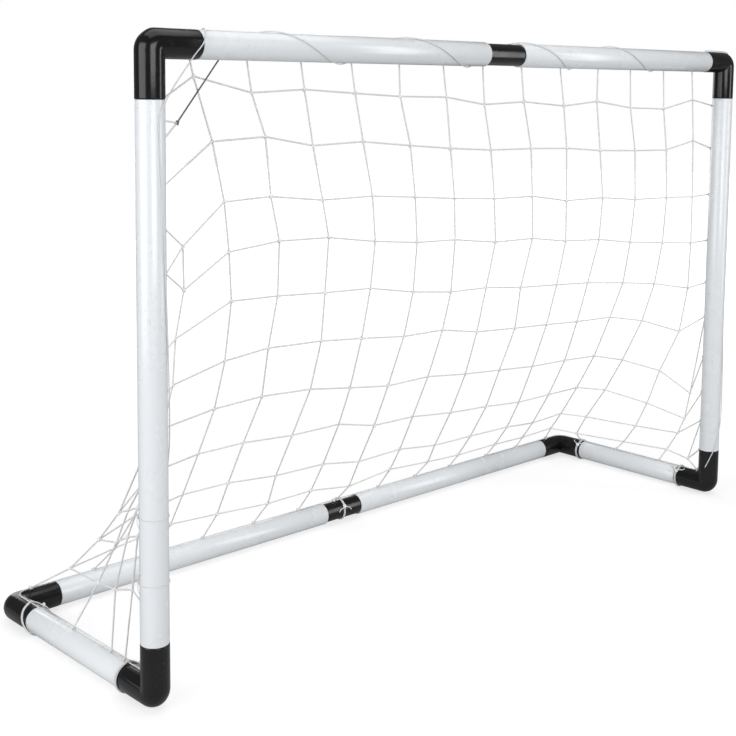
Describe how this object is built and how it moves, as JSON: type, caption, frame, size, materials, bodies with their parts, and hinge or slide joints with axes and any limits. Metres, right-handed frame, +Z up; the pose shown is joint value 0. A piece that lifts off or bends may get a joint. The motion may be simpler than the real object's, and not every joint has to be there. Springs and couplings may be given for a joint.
{
  "type": "soccer goal frame",
  "caption": "Small knock-down goal of white plastic tubes joined by black corner elbows and straight couplers, with a white knotted net laced to the frame.",
  "frame": {"origin": "on the ground, in the middle of the goal's overall width and depth", "axes": "+X along the goal line to the right as seen from the field, +Y from the goal line back into the goal, +Z up"},
  "size_m": [1.2053, 0.3772, 0.7893],
  "materials": {
    "white_tube": "satin white extruded plastic tube",
    "black_fitting": "glossy black moulded plastic",
    "net_twine": "twisted white polyethylene twine, knotted",
    "white_cord": "thin twisted white cord",
    "dark_cord": "thin twisted dark grey cord"
  },
  "bodies": {
    "root": {"crossbar_tube_left": "white_tube", "crossbar_tube_right": "white_tube", "post_left": "white_tube", "post_right": "white_tube", "side_tube_left": "white_tube", "side_tube_right": "white_tube", "rear_tube_left": "white_tube", "rear_tube_right": "white_tube", "top_elbow_left": "black_fitting", "top_elbow_right": "black_fitting", "front_elbow_left": "black_fitting", "front_elbow_right": "black_fitting", "rear_elbow_left": "black_fitting", "rear_elbow_right": "black_fitting", "crossbar_coupler": "black_fitting", "rear_coupler": "black_fitting", "back_net": "net_twine", "side_net_left": "net_twine", "side_net_right": "net_twine", "edge_cord": "white_cord", "edge_cord_knot": "white_cord", "front_tie_left": "white_cord", "front_tie_right": "white_cord", "rear_tie_left": "white_cord", "rear_tie_right": "white_cord", "rear_coupler_tie": "white_cord", "post_ties_left": "white_cord", "crossbar_lacing": "white_cord", "left_post_lacing": "white_cord", "right_post_lacing": "white_cord", "dark_cord": "dark_cord", "dark_cord_knot": "dark_cord"}
  },
  "joints": []
}
